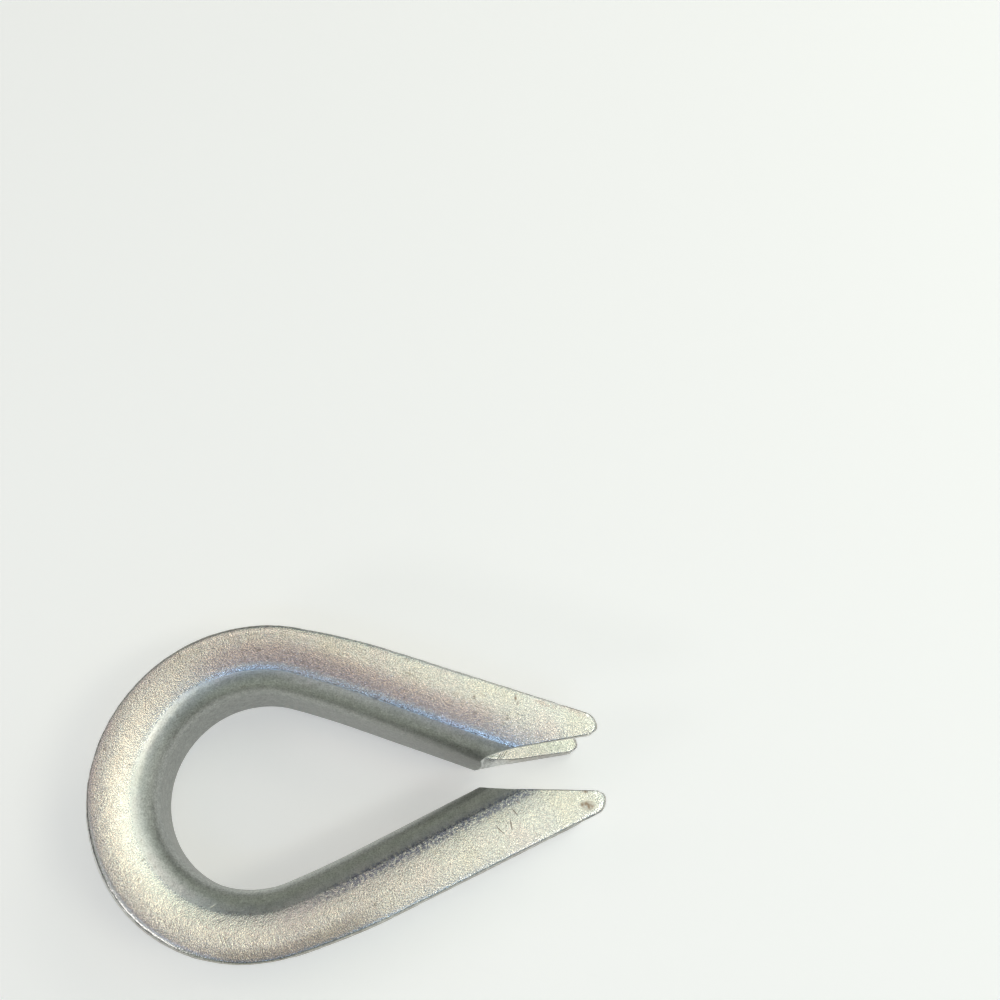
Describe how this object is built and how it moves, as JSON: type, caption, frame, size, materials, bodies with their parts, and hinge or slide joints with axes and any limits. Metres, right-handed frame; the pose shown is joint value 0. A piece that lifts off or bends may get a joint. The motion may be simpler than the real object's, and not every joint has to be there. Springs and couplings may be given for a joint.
{
  "type": "wire rope thimble",
  "caption": "Open teardrop thimble, a grooved channel that lines and guards the eye of a wire rope or sling, with a round seat for a pin or shackle.",
  "frame": {"origin": "centre of the round crown seat, at mid height of the channel", "axes": "+Z along the seat's axis, +X from the crown towards the leg tips, +Y across the eye"},
  "size_m": [0.1277, 0.0812, 0.0314],
  "materials": {
    "zinc_plate": "satin bright zinc plate"
  },
  "bodies": {
    "root": {"thimble": "zinc_plate"}
  },
  "joints": []
}
